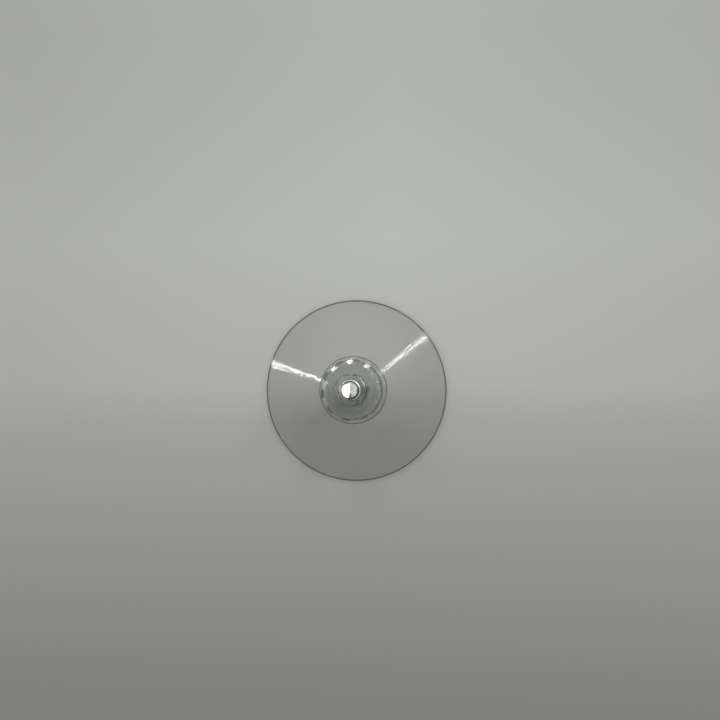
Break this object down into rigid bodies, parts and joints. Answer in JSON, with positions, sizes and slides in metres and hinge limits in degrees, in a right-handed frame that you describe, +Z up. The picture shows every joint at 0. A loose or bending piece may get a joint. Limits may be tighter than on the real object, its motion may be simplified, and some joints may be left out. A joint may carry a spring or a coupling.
{
  "type": "suction cup with threaded stud and thumb nut",
  "caption": "Clear soft suction cup for glass or tile, with a steel threaded stud held in its hub and a clear fluted thumb nut run down on the stud.",
  "frame": {"origin": "centre of the circle on which the cup's rim rests", "axes": "+Z up the stud, away from the surface that the cup sticks to"},
  "size_m": [0.04, 0.04, 0.0166],
  "materials": {
    "soft_clear_vinyl": "gloss",
    "plated_steel": "satin",
    "hard_clear_plastic": "gloss"
  },
  "bodies": {
    "cup": {"cup": "soft_clear_vinyl", "stud": "plated_steel"},
    "thumb_nut": {"thumb_nut": "hard_clear_plastic"}
  },
  "joints": [
    {"name": "nut_travel", "type": "slide", "parent": "cup", "child": "thumb_nut", "axis": [0, 0, 1], "range_m": [0, 0.0098]}
  ]
}
